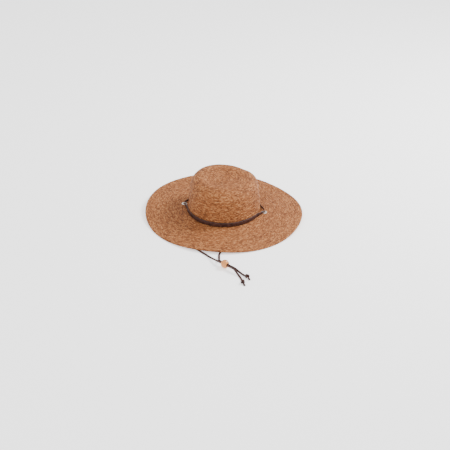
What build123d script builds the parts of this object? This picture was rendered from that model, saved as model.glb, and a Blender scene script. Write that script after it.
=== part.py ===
"""Straw sun hat with a leather band and a beaded chin lace.

Millimetres. +Z is up, the hat's front faces -Y and its right side is at -X, as worn.
The origin is on the resting surface, straight below the middle of the crown.
"""
from build123d import *
import os
from math import atan2, cos, degrees, hypot, pi, radians, sin, tan

# ---- Head and crown -------------------------------------------------------------------
CROWN_HALF_WIDTH = 89.0         # outside, at the foot of the wall, side to side
CROWN_ASPECT = 1.135            # front-to-back size over side-to-side size
STRAW = 2.6                     # thickness of the sewn braid
WALL_LEAN = 6.3                 # degrees, the wall leans inward
WALL_RUN = 60.0                 # slant length of the straight wall above the brim
SHOULDER_RADIUS = 27.0
DISH_ANGLE = 11.0               # degrees, slope of the sunk top at its rim
TIP_SEAM = 47.0                 # degrees up the shoulder where the side meets the tip
BASE_RISE = 14.0                # top of the brim at the crown, above the resting surface

# ---- Brim -----------------------------------------------------------------------------
BRIM_HALF_WIDTH = 193.0         # side to side
BRIM_HALF_LENGTH = 206.0        # front to back
BRIM_DROOP = 1.4                # power of the radial curve from the crown to the edge
EDGE_WAVES = (                  # (waves round the brim, height, azimuth of a crest)
    (1, 4.22, 140.3),
    (2, 3.15, -31.4),
    (3, 1.53, 20.2),
    (4, 2.47, 0.4),
)
EDGE_ROW_HEIGHT = 4.4
EDGE_ROW_WIDTH = 7.0
REST_FLATTENING = 0.8           # the hat's weight flattens the edge's troughs by this much
SURFACE_GRID = 27               # points each way in the brim's surface
OVAL_ARCS = 12                  # arcs that make up the brim's oval lines

# ---- Brim wire ------------------------------------------------------------------------
WIRE_RADIUS = 0.75
WIRE_INSET = 1.8                # wire centre in from the edge
WIRE_END_GAP = 0.5              # degrees at the back, between the wire's two ends
JOINER_RADIUS = 1.4
JOINER_HALF_SPAN = 3.2          # degrees to each side of the wire's ends

# ---- Sweatband ------------------------------------------------------------------------
SWEATBAND_HEIGHT = 30.0
SWEATBAND_THICKNESS = 1.0
STITCH_COUNT = 84
STITCH_SIZE = (4.4, 0.5, 0.7)   # along the band, through it, up it
STITCH_RISE = 3.0               # above the sweatband's lower edge
TAB_SIZE = (24.0, 0.4, 15.0)
TAB_RISE = 9.0

# ---- Eyelets --------------------------------------------------------------------------
EYELET_OFFSET = 100.0           # from the middle of the hat to each eyelet
EYELET_BORE = 4.1
EYELET_BARREL = 4.7
EYELET_FLANGE = 6.9
EYELET_FLANGE_HEIGHT = 1.2
EYELET_LIP = 5.8
EYELET_LIP_HEIGHT = 0.5
WASHER_RADIUS = 6.6
WASHER_THICKNESS = 0.6

# ---- Band and laces -------------------------------------------------------------------
BAND_HEIGHT = 9.0
BAND_THICKNESS = 2.4
BAND_GAP = 0.4                  # between the crown and the band
BAND_LIFT = 1.0                 # band's lower edge above the brim
BAND_END_ANGLE = 13.0           # degrees short of the side where the full-width band ends
LACE_RADIUS = 1.7
LACE_LANE = 1.95                # half the spacing of two laces that run side by side
LACE_FLOOR = 1.75               # height of a lace's centre where it lies on the surface
BAND_KNOT_RADIUS = 3.2
BAND_KNOT_HEIGHT = 4.6
BAND_KNOT_OFFSET = 2.6          # knot's middle, forward of the strand that it stops

# ---- Bead and tail knots --------------------------------------------------------------
BEAD_CENTRE = (50.0, -260.5, 9.5)
BEAD_RADIUS = 9.5
BEAD_LENGTH = 17.0
BEAD_BORE = 4.2
BORE_AZIMUTH = -32.0            # degrees, direction of the bore towards the tails
LANE_DROP = 0.9                 # the laces lie this far below the middle of the bore
ENTRY_RUN = 20.0                # from the bead's middle back to the laces' last corner
EXIT_RUN = 29.0                 # from the bead's middle to the laces' next corner
KNOT_RADIUS = 4.3
KNOT_LENGTH = 8.5
TAIL_LENGTH = 11.0
FILLET_SHARE = 0.45             # share of the shorter run that a bend may use

CROWN_HALF_LENGTH = CROWN_HALF_WIDTH * CROWN_ASPECT


def edge_wave(angle):
    """The edge's rise above its mean height, at an angle in radians round the brim."""
    height = 0.0
    for order, size, crest in EDGE_WAVES:
        height += size * cos(order * (angle - radians(crest)))
    return height


# The troughs of the edge rest on the surface.
EDGE_MEAN_RISE = -min(edge_wave(radians(step / 4)) for step in range(1440)) - REST_FLATTENING


def brim_top(x, y):
    """Height of the brim's upper face above the resting surface."""
    angle = atan2(y / BRIM_HALF_LENGTH, x / BRIM_HALF_WIDTH)
    outer = hypot(x / BRIM_HALF_WIDTH, y / BRIM_HALF_LENGTH)
    inner = hypot(x / CROWN_HALF_WIDTH, y / CROWN_HALF_LENGTH)
    if inner <= 1.0:
        return BASE_RISE
    reach = (1.0 - 1.0 / inner) / (1.0 / outer - 1.0 / inner)
    edge = EDGE_MEAN_RISE + edge_wave(angle) + (EDGE_ROW_HEIGHT + STRAW) / 2
    return BASE_RISE + (edge - BASE_RISE) * reach ** BRIM_DROOP


def oval_prism(half_width, half_length, foot=-20.0):
    """Tall oval block from its foot up through the whole brim."""
    arcs = []
    for i in range(OVAL_ARCS):
        start = 360 * i / OVAL_ARCS
        size = 360 / OVAL_ARCS
        arc = EllipticalCenterArc((0, 0), half_width, half_length, start_angle=start, arc_size=size)
        arcs.append(arc)
    return extrude(Plane.XY.offset(foot) * make_face(arcs), amount=80)


def wavy_slab(thickness):
    """Wavy sheet larger than the brim, with the brim's straw in the middle of it."""
    reach_x = BRIM_HALF_WIDTH + 6
    reach_y = BRIM_HALF_LENGTH + 6
    last = SURFACE_GRID - 1
    rows = []
    for i in range(SURFACE_GRID):
        x = reach_x * (2 * i / last - 1)
        row = []
        for j in range(SURFACE_GRID):
            y = reach_y * (2 * j / last - 1)
            row.append(Vector(x, y, brim_top(x, y) + (thickness - STRAW) / 2))
        rows.append(row)
    surface = Face.make_surface_from_array_of_points(rows)
    return extrude(surface, amount=thickness, dir=(0, 0, -1))


def wall_point(offset, height):
    """Point on the crown's wall, at a distance inward and a height above the brim."""
    lean = radians(WALL_LEAN)
    x = CROWN_HALF_WIDTH - (height + STRAW) * tan(lean) - offset / cos(lean)
    return Vector(x, 0, BASE_RISE + height)


def shoulder_point(offset, turn):
    """Point on the shoulder, at a distance inward and an angle up from the side."""
    lean = radians(WALL_LEAN)
    wall_top = wall_point(0, WALL_RUN * cos(lean))
    radius = SHOULDER_RADIUS - offset
    x = wall_top.X - SHOULDER_RADIUS * cos(lean) + radius * cos(radians(turn))
    z = wall_top.Z - SHOULDER_RADIUS * sin(lean) + radius * sin(radians(turn))
    return Vector(x, 0, z)


def wall_strip(outer, inner, foot, tip):
    """Closed half profile of a strip inside the straight wall."""
    corners = [wall_point(outer, foot), wall_point(outer, tip)]
    corners += [wall_point(inner, tip), wall_point(inner, foot)]
    return make_face(Polyline(*corners, close=True))


def side_edges(offset):
    """Straight wall and the lower part of the shoulder, from the foot up."""
    middle = (WALL_LEAN + TIP_SEAM) / 2
    start = shoulder_point(offset, WALL_LEAN)
    arc = ThreePointArc(start, shoulder_point(offset, middle), shoulder_point(offset, TIP_SEAM))
    return [Line(wall_point(offset, -STRAW), start), arc]


def tip_edges(offset):
    """Upper part of the shoulder and the sunk top, from the seam to the middle."""
    last = 90 + DISH_ANGLE
    middle = (TIP_SEAM + last) / 2
    rim = shoulder_point(offset, last)
    arc = ThreePointArc(shoulder_point(offset, TIP_SEAM), shoulder_point(offset, middle), rim)
    bowl = rim.X / sin(radians(DISH_ANGLE))
    bowl_z = rim.Z + bowl * cos(radians(DISH_ANGLE))
    half = radians(DISH_ANGLE / 2)
    halfway = Vector(bowl * sin(half), 0, bowl_z - bowl * cos(half))
    return [arc, ThreePointArc(rim, halfway, Vector(0, 0, bowl_z - bowl))]


def shell_profile(edges_at):
    """Closed half profile of the straw between its outer and inner lines."""
    outer = edges_at(0)
    inner = edges_at(STRAW)
    first = Line(outer[0] @ 0, inner[0] @ 0)
    last = Line(outer[-1] @ 1, inner[-1] @ 1)
    return make_face([*outer, *inner, first, last])


def oval_revolve(profile):
    """Turn a half profile about the crown's axis and stretch it to the head's oval."""
    round_body = revolve(profile, axis=Axis.Z)
    return scale(round_body, by=(1, CROWN_ASPECT, 1))


def make_crown_side():
    """Upright wall and the lower part of the soft shoulder, open above and below."""
    return oval_revolve(shell_profile(side_edges))


def make_crown_tip():
    """Upper part of the shoulder and the sunk top."""
    return oval_revolve(shell_profile(tip_edges))


def eyelet_sites():
    """Middle of each eyelet, on the brim's upper face."""
    for side in (-1, 1):
        x = side * EYELET_OFFSET
        yield Pos(x, 0, brim_top(x, 0))


def make_brim():
    """Wavy oval ring with the two eyelet holes."""
    ring = oval_prism(BRIM_HALF_WIDTH - EDGE_ROW_WIDTH, BRIM_HALF_LENGTH - EDGE_ROW_WIDTH)
    ring -= oval_prism(CROWN_HALF_WIDTH, CROWN_HALF_LENGTH)
    brim = ring & wavy_slab(STRAW)
    for site in eyelet_sites():
        brim -= site * Cylinder(EYELET_BARREL, 4 * STRAW)
    return brim


def edge_path(first, last, count):
    """Points along the wire's line, from `first` to `last` degrees round the brim."""
    points = []
    for i in range(count + 1):
        angle = radians(first + (last - first) * i / count)
        x = (BRIM_HALF_WIDTH - WIRE_INSET) * cos(angle)
        y = (BRIM_HALF_LENGTH - WIRE_INSET) * sin(angle)
        points.append((x, y, brim_top(x, y) - STRAW / 2))
    return points


def round_tube(points, radius):
    """Solid round bar along a smooth line through the points."""
    path = Spline(*points)
    section = Plane(path @ 0, z_dir=path % 0) * Circle(radius)
    return sweep(section, path=path)


def joiner_core():
    """Outside of the crimped sleeve, without its bore."""
    return round_tube(edge_path(90 - JOINER_HALF_SPAN, 90 + JOINER_HALF_SPAN, 6), JOINER_RADIUS)


def make_brim_wire():
    """Springy wire round the brim, its two ends meeting at the back."""
    first = 90 + WIRE_END_GAP / 2
    return round_tube(edge_path(first, first + 360 - WIRE_END_GAP, 96), WIRE_RADIUS)


def make_wire_joiner(wire):
    """Crimped sleeve over the wire's two ends."""
    return joiner_core() - wire


def make_brim_edge_row(wire):
    """Last row of braid, folded over the wire and pressed flat where it rests."""
    ring = oval_prism(BRIM_HALF_WIDTH, BRIM_HALF_LENGTH, 0)
    ring -= oval_prism(BRIM_HALF_WIDTH - EDGE_ROW_WIDTH, BRIM_HALF_LENGTH - EDGE_ROW_WIDTH)
    row = ring & wavy_slab(EDGE_ROW_HEIGHT)
    return row - joiner_core() - wire


def make_sweatband():
    """Fabric band inside the crown's foot."""
    inner = STRAW + SWEATBAND_THICKNESS
    foot = -STRAW + 0.4
    return oval_revolve(wall_strip(STRAW, inner, foot, foot + SWEATBAND_HEIGHT))


def sweatband_face(angle, rise):
    """Place on the sweatband's inner face: X runs along the band and Y outward."""
    height = -STRAW + 0.4 + rise
    inset = (STRAW + SWEATBAND_THICKNESS) / cos(radians(WALL_LEAN))
    reach = CROWN_HALF_WIDTH - (height + STRAW) * tan(radians(WALL_LEAN)) - inset
    x = reach * cos(angle)
    y = reach * CROWN_ASPECT * sin(angle)
    heading = degrees(atan2(CROWN_ASPECT * cos(angle), -sin(angle)))
    return Pos(x, y, BASE_RISE + height) * Rot(0, 0, heading + 180)


def make_sweatband_stitches():
    """Thread that shows along the sweatband's lower edge."""
    length, depth, height = STITCH_SIZE
    stitch = Box(length, depth, height)
    stitches = []
    for i in range(STITCH_COUNT):
        place = sweatband_face(2 * pi * (i + 0.5) / STITCH_COUNT, STITCH_RISE)
        stitches.append(place * Pos(0, -depth / 2, 0) * stitch)
    return Compound(stitches)


def make_size_tab():
    """Blank woven tab sewn to the sweatband at the back."""
    width, thickness, height = TAB_SIZE
    inner = STRAW + SWEATBAND_THICKNESS
    foot = -STRAW + 0.4 + TAB_RISE
    sleeve = oval_revolve(wall_strip(inner, inner + thickness, foot, foot + height))
    return sleeve & Pos(0, CROWN_HALF_LENGTH, BASE_RISE + foot) * Box(width, 40, 3 * height)


def make_eyelets():
    """Two eyelets: domed flange above, barrel through the brim, rolled lip below."""
    bottom = -STRAW - WASHER_THICKNESS
    rounding = EYELET_FLANGE_HEIGHT * 0.45
    flange = Pos(0, 0, EYELET_FLANGE_HEIGHT / 2) * Cylinder(EYELET_FLANGE, EYELET_FLANGE_HEIGHT)
    flange = fillet(flange.edges().filter_by(GeomType.CIRCLE).group_by(Axis.Z)[-1], rounding)
    barrel = Pos(0, 0, bottom / 2) * Cylinder(EYELET_BARREL, -bottom)
    lip = Pos(0, 0, bottom - EYELET_LIP_HEIGHT / 2) * Cylinder(EYELET_LIP, EYELET_LIP_HEIGHT)
    eyelet = flange + barrel + lip - Cylinder(EYELET_BORE, 30)
    return Compound([site * eyelet for site in eyelet_sites()])


def make_eyelet_washers():
    """Flat washers that the eyelets are rolled over, under the brim."""
    washer = Cylinder(WASHER_RADIUS, WASHER_THICKNESS) - Cylinder(EYELET_BARREL, 5)
    low = -STRAW - WASHER_THICKNESS / 2
    return Compound([site * Pos(0, 0, low) * washer for site in eyelet_sites()])


def eyelet_bottom():
    """Height of the underside of the eyelets' rolled lips."""
    low = STRAW + WASHER_THICKNESS + EYELET_LIP_HEIGHT
    return brim_top(EYELET_OFFSET, 0) - low


def oval_point(clearance, angle, height):
    """Point at a distance outside the crown's foot, at an angle in degrees."""
    x = (CROWN_HALF_WIDTH + clearance) * cos(radians(angle))
    y = (CROWN_HALF_LENGTH + clearance) * sin(radians(angle))
    return (x, y, height)


def strand_end(side, lane, clearance, step, height):
    """Points that lead a strand off the crown's wall and down through an eyelet.

    `side` is -1 or 1 along X, `lane` its signed place in the bore along Y and `step`
    the angle in degrees, measured from the side, where it leaves the wall.
    """
    toward = -1 if lane < 0 else 1
    wall_angle = toward * step if side > 0 else 180 - toward * step
    x = side * EYELET_OFFSET
    top = brim_top(x, 0)
    return [
        oval_point(clearance, wall_angle, height),
        (x - side * 2.6, lane + toward * 6.0, top + 4.9),
        (x, lane, top + 0.8),
        (x, lane, top - STRAW / 2),
        (x, lane, eyelet_bottom()),
    ]


def make_front_band():
    """Leather strip round the front, with narrow ends that go down the eyelets."""
    foot = BASE_RISE + BAND_LIFT
    inner_x = CROWN_HALF_WIDTH + BAND_GAP
    inner_y = CROWN_HALF_LENGTH + BAND_GAP
    plane = Plane.XY.offset(foot)
    outer = Ellipse(inner_x + BAND_THICKNESS, inner_y + BAND_THICKNESS)
    ring = extrude(plane * (outer - Ellipse(inner_x, inner_y)), amount=BAND_HEIGHT)
    reach_y = CROWN_HALF_LENGTH * sin(radians(BAND_END_ANGLE))
    front = Pos(0, -reach_y - 150, foot) * Box(400, 300, 60)
    band = ring & front
    height = foot + LACE_RADIUS + 1.2
    for side in (-1, 1):
        clearance = BAND_GAP + LACE_RADIUS
        start = BAND_END_ANGLE + 1.5
        points = strand_end(side, -LACE_LANE, clearance, start, height)
        band += round_tube(points, LACE_RADIUS)
    return band


def make_band_knots():
    """Knots in the band's narrow ends, under the eyelets."""
    knot = Cylinder(BAND_KNOT_RADIUS, BAND_KNOT_HEIGHT)
    knot = fillet(knot.edges().filter_by(GeomType.CIRCLE), 1.2)
    knots = []
    for side in (-1, 1):
        y = -LACE_LANE - BAND_KNOT_OFFSET
        z = eyelet_bottom() - BAND_KNOT_HEIGHT / 2
        knots.append(Pos(side * EYELET_OFFSET, y, z) * knot)
    return Compound(knots)


def make_back_lace():
    """Lace round the back of the crown, both ends down through the eyelets."""
    height = BASE_RISE + LACE_RADIUS + 0.6
    clearance = BAND_GAP + LACE_RADIUS
    step = 12.0
    points = list(reversed(strand_end(1, LACE_LANE, clearance, step, height)))
    arc_steps = 14
    for i in range(1, arc_steps):
        angle = step + (180 - 2 * step) * i / arc_steps
        points.append(oval_point(clearance, angle, height))
    points += strand_end(-1, LACE_LANE, clearance, step, height)
    return round_tube(points, LACE_RADIUS)


def bore_point(along, lane):
    """Point on a lace's straight stretch through the bead."""
    heading = radians(BORE_AZIMUTH)
    x = BEAD_CENTRE[0] + along * cos(heading) - lane * sin(heading)
    y = BEAD_CENTRE[1] + along * sin(heading) + lane * cos(heading)
    return (x, y, BEAD_CENTRE[2] - LANE_DROP)


def lace_route(side, under_brim, after_bead):
    """Corner points of one chin lace, from under its eyelet to its stopper knot."""
    x = side * EYELET_OFFSET
    lane = side * LACE_LANE
    route = [(x, LACE_LANE, eyelet_bottom()), (x, LACE_LANE, LACE_FLOOR)]
    route += under_brim
    route += [bore_point(-ENTRY_RUN, lane), bore_point(EXIT_RUN, lane)]
    route += after_bead
    return route


LEFT_UNDER_BRIM = [
    (-98.5, -14.0, LACE_FLOOR),
    (-97.0, -44.0, LACE_FLOOR),
    (-90.0, -93.0, LACE_FLOOR),
    (-75.0, -142.0, LACE_FLOOR),
    (-52.0, -180.0, LACE_FLOOR),
    (-17.0, -204.0, LACE_FLOOR),
    (9.0, -227.0, 2.4),
]
LEFT_AFTER_BEAD = [
    (88.0, -292.5, LACE_FLOOR),
    (95.5, -305.5, LACE_FLOOR),
    (99.5, -316.0, 3.0),
]
RIGHT_UNDER_BRIM = [
    (98.5, -14.0, LACE_FLOOR),
    (96.5, -44.0, LACE_FLOOR),
    (88.0, -92.0, LACE_FLOOR),
    (64.0, -138.0, LACE_FLOOR),
    (36.0, -177.0, LACE_FLOOR),
    (25.0, -203.0, LACE_FLOOR),
    (25.0, -227.0, 2.6),
]
RIGHT_AFTER_BEAD = [
    (94.0, -285.5, LACE_FLOOR),
    (103.0, -292.0, 3.0),
]
LACE_ROUTES = {
    "chin_lace_left": lace_route(-1, LEFT_UNDER_BRIM, LEFT_AFTER_BEAD),
    "chin_lace_right": lace_route(1, RIGHT_UNDER_BRIM, RIGHT_AFTER_BEAD),
}


def bend_radii(route):
    """Radius at each corner, from the shorter run beside it and the turn."""
    radii = []
    for before, corner, after in zip(route, route[1:], route[2:]):
        arriving = Vector(*corner) - Vector(*before)
        leaving = Vector(*after) - Vector(*corner)
        turn = radians(arriving.get_angle(leaving))
        shorter = min(arriving.length, leaving.length)
        radii.append(FILLET_SHARE * shorter / tan(turn / 2))
    return radii


def make_chin_lace(route):
    """Limp lace that lies free: straight runs joined by tangent arcs."""
    path = FilletPolyline(*route, radius=bend_radii(route))
    section = Plane(path @ 0, z_dir=path % 0) * Circle(LACE_RADIUS)
    return sweep(section, path=path), path.length


def make_cord_bead():
    """Round wooden bead with flat ends and one bore for both laces."""
    bead = Sphere(BEAD_RADIUS) & Box(BEAD_LENGTH, 3 * BEAD_RADIUS, 3 * BEAD_RADIUS)
    bead -= Rot(0, 90, 0) * Cylinder(BEAD_BORE, 3 * BEAD_RADIUS)
    return Pos(*BEAD_CENTRE) * Rot(0, 0, BORE_AZIMUTH) * bead


def make_tail_knot(route, droop):
    """Stopper knot on a lace's end, with the short tail beyond it."""
    end = Vector(*route[-1])
    run = end - Vector(*route[-2])
    heading = degrees(atan2(run.Y, run.X))
    knot = Rot(0, 90, 0) * Cylinder(KNOT_RADIUS, KNOT_LENGTH)
    knot = fillet(knot.edges().filter_by(GeomType.CIRCLE), 2.4)
    tail = Rot(0, 90, 0) * Cylinder(LACE_RADIUS, TAIL_LENGTH)
    drop = end.Z + 1.3 - LACE_FLOOR
    tail = Pos(KNOT_LENGTH / 2 - 1.5, 0, -drop) * Rot(0, 0, droop) * Pos(TAIL_LENGTH / 2, 0, 0) * tail
    place = Pos(end.X, end.Y, end.Z + 1.3) * Rot(0, 0, heading) * Pos(KNOT_LENGTH / 2, 0, 0)
    return place * (knot + tail)


def build_parts():
    """Every sub-part by the name of its node."""
    wire = make_brim_wire()
    parts = {
        "crown_side": make_crown_side(),
        "crown_tip": make_crown_tip(),
        "brim": make_brim(),
        "brim_edge_row": make_brim_edge_row(wire),
        "brim_wire": wire,
        "wire_joiner": make_wire_joiner(wire),
        "sweatband": make_sweatband(),
        "sweatband_stitches": make_sweatband_stitches(),
        "size_tab": make_size_tab(),
        "eyelets": make_eyelets(),
        "eyelet_washers": make_eyelet_washers(),
        "front_band": make_front_band(),
        "band_knots": make_band_knots(),
        "back_lace": make_back_lace(),
        "cord_bead": make_cord_bead(),
    }
    section = pi * LACE_RADIUS ** 2
    for name, route in LACE_ROUTES.items():
        lace, length = make_chin_lace(route)
        parts[name] = lace
        radii = ", ".join(f"{radius:.1f}" for radius in bend_radii(route))
        print(f"{name}: length {length:.1f} mm, bends {radii}")
        print(f"{name}: volume {lace.volume:.0f} mm3, section x length {section * length:.0f} mm3")
    parts["tail_knot_lower"] = make_tail_knot(LACE_ROUTES["chin_lace_left"], 12)
    parts["tail_knot_upper"] = make_tail_knot(LACE_ROUTES["chin_lace_right"], -22)
    return parts


def main():
    """Write one STEP file for each sub-part."""
    os.makedirs("parts", exist_ok=True)
    for name, part in build_parts().items():
        export_step(part, f"parts/{name}.step")


main()
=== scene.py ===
"""Looks of a straw sun hat: sewn braid, leather band and laces, eyelets, bead and cloth.

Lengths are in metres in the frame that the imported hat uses: +Z up, the front faces -Y, and
the origin lies on the resting surface below the middle of the crown.
"""
import logging
from dataclasses import dataclass, field
from enum import Enum
from typing import Iterable, Sequence

import bpy
import numpy as np
from mathutils import Matrix, Vector


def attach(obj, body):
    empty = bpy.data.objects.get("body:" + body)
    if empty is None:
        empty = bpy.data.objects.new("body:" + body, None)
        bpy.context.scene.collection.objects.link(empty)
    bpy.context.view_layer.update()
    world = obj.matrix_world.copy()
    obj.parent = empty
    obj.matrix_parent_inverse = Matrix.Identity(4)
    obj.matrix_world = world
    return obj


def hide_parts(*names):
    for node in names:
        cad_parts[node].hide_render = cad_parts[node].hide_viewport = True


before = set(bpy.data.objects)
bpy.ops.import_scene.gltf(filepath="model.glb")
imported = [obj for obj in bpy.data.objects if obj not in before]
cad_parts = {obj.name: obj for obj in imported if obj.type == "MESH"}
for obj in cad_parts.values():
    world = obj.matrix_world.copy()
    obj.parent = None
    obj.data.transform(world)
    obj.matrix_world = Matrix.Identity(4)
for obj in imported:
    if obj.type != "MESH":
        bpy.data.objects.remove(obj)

LOG = logging.getLogger("straw_hat")
MM = 0.001
TAU = 2 * np.pi
GOLDEN_ANGLE = 2.39996
UP = np.array([0.0, 0.0, 1.0])
Point = tuple[float, float, float]
Route = Sequence[Point]
Colour = tuple[float, float, float]
Term = "Wire | float"


# ---- Node graphs ----------------------------------------------------------------------
class Wire:
    """A node's output socket that takes part in arithmetic."""

    def __init__(self, graph: "Graph", socket: bpy.types.NodeSocket) -> None:
        """Wrap a socket.

        Args:
            graph: The material graph that owns the socket.
            socket: The output socket.
        """
        self.graph = graph
        self.socket = socket

    def __add__(self, other: Term) -> "Wire":
        """Add a wire or a number to this."""
        return self.graph.math("ADD", self, other)

    def __radd__(self, other: Term) -> "Wire":
        """Add this to a number."""
        return self.graph.math("ADD", other, self)

    def __sub__(self, other: Term) -> "Wire":
        """Take a wire or a number from this."""
        return self.graph.math("SUBTRACT", self, other)

    def __rsub__(self, other: Term) -> "Wire":
        """Take this from a number."""
        return self.graph.math("SUBTRACT", other, self)

    def __mul__(self, other: Term) -> "Wire":
        """Multiply this by a wire or a number."""
        return self.graph.math("MULTIPLY", self, other)

    def __rmul__(self, other: Term) -> "Wire":
        """Multiply a number by this."""
        return self.graph.math("MULTIPLY", other, self)

    def __truediv__(self, other: Term) -> "Wire":
        """Divide this by a wire or a number."""
        return self.graph.math("DIVIDE", self, other)

    def __rtruediv__(self, other: Term) -> "Wire":
        """Divide a number by this."""
        return self.graph.math("DIVIDE", other, self)


class Graph:
    """Builds one material's node tree."""

    def __init__(self, name: str) -> None:
        """Start a material with its shader and its output.

        Args:
            name: The material's name.
        """
        self.material = bpy.data.materials.new(name)
        self.material.use_nodes = True
        self.tree = self.material.node_tree
        self.tree.nodes.clear()
        output = self.tree.nodes.new("ShaderNodeOutputMaterial")
        self.shader = self.tree.nodes.new("ShaderNodeBsdfPrincipled")
        self.tree.links.new(self.shader.outputs[0], output.inputs["Surface"])

    def plug(self, socket: bpy.types.NodeSocket, value: object) -> None:
        """Link a wire to an input socket, or set the socket to a plain value.

        Args:
            socket: The input socket.
            value: A Wire, a number, a colour or a vector.
        """
        if isinstance(value, Wire):
            self.tree.links.new(value.socket, socket)
        else:
            socket.default_value = value

    def node(
        self, kind: str, settings: dict[str, object] | None = None, out: int | str = 0, **inputs: object
    ) -> Wire:
        """Add any node.

        Args:
            kind: The node's type after "ShaderNode".
            settings: Properties to set on the node, or a ramp's stops, before its sockets.
            out: The output to return.
            **inputs: Values for its input sockets, by name or as i0, i1 and so on.

        Returns:
            The chosen output.
        """
        made = self.tree.nodes.new("ShaderNode" + kind)
        for key, value in (settings or {}).items():
            if key == "stops":
                self.set_stops(made.color_ramp, value)
            else:
                setattr(made, key, value)
        for key, value in inputs.items():
            index = int(key[1:]) if key[0] == "i" and key[1:].isdigit() else key.replace("_", " ")
            self.plug(made.inputs[index], value)
        return Wire(self, made.outputs[out])

    def set_stops(self, ramp: bpy.types.ColorRamp, stops: Sequence[tuple[float, Colour]]) -> None:
        """Give a colour ramp its stops.

        Args:
            ramp: The ramp of a new node.
            stops: Positions from 0 to 1 with their colours.
        """
        while len(ramp.elements) < len(stops):
            ramp.elements.new(0.5)
        for element, (position, colour) in zip(ramp.elements, stops):
            element.position = position
            element.color = (*colour, 1)

    def math(self, operation: str, a: Term, b: Term = 0.0, c: Term = 0.0) -> Wire:
        """Add a Math node.

        Args:
            operation: Blender's name of the operation.
            a: First operand.
            b: Second operand.
            c: Third operand, for the operations that take one.

        Returns:
            The result.
        """
        return self.node("Math", {"operation": operation}, i0=a, i1=b, i2=c)

    def attribute(self, name: str) -> Wire:
        """Read a number that the mesh carries.

        Args:
            name: The attribute's name.

        Returns:
            The number.
        """
        return self.node("Attribute", {"attribute_name": name}, "Fac")

    def place(self) -> Wire:
        """Read the object coordinates, as a vector."""
        return self.node("TexCoord", None, "Object")

    def axes(self) -> tuple[Wire, ...]:
        """Read the object coordinates, as three numbers."""
        first = self.node("SeparateXYZ", None, 0, i0=self.place())
        return tuple(Wire(self, output) for output in first.socket.node.outputs)

    def noise(self, scale: float, detail: float = 3.0, vector: Wire | None = None) -> Wire:
        """Add a noise texture on the object coordinates.

        Args:
            scale: Features for each metre.
            detail: Octaves.
            vector: Coordinates to use in place of the object's own.

        Returns:
            A number about 0.5.
        """
        where = vector if vector is not None else self.place()
        return self.node("TexNoise", None, "Fac", Vector=where, Scale=scale, Detail=detail)

    def ramp(self, fac: Wire, stops: Sequence[tuple[float, Colour]]) -> Wire:
        """Map a number to colours.

        Args:
            fac: The number.
            stops: Positions from 0 to 1 with their colours.

        Returns:
            The colour.
        """
        return self.node("ValToRGB", {"stops": stops}, 0, i0=fac)

    def mix(self, fac: Term, a: object, b: object, blend: str = "MIX") -> Wire:
        """Mix two colours.

        Args:
            fac: Share of the second one.
            a: First colour.
            b: Second colour.
            blend: Blend mode.

        Returns:
            The colour.
        """
        return self.node("Mix", {"data_type": "RGBA", "blend_type": blend}, 2, i0=fac, i6=a, i7=b)

    def bump(self, height: Wire, distance: float, strength: float = 1.0) -> None:
        """Send a height to the shader's normal.

        Args:
            height: Height from 0 to 1.
            distance: What a height of 1 stands for.
            strength: Share of the effect.
        """
        normal = self.node("Bump", None, Height=height, Distance=distance, Strength=strength)
        self.plug(self.shader.inputs["Normal"], normal)

    def surface(self, colour: object, roughness: object, **settings: object) -> bpy.types.Material:
        """Set the shader's main sockets.

        Args:
            colour: Base colour, as a wire or three numbers.
            roughness: Roughness, as a wire or a number.
            **settings: Other sockets, by name with underscores for spaces.

        Returns:
            The finished material.
        """
        plain = colour if isinstance(colour, Wire) else (*colour, 1)
        self.plug(self.shader.inputs["Base Color"], plain)
        self.plug(self.shader.inputs["Roughness"], roughness)
        for key, value in settings.items():
            self.plug(self.shader.inputs[key.replace("_", " ")], value)
        return self.material


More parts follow.
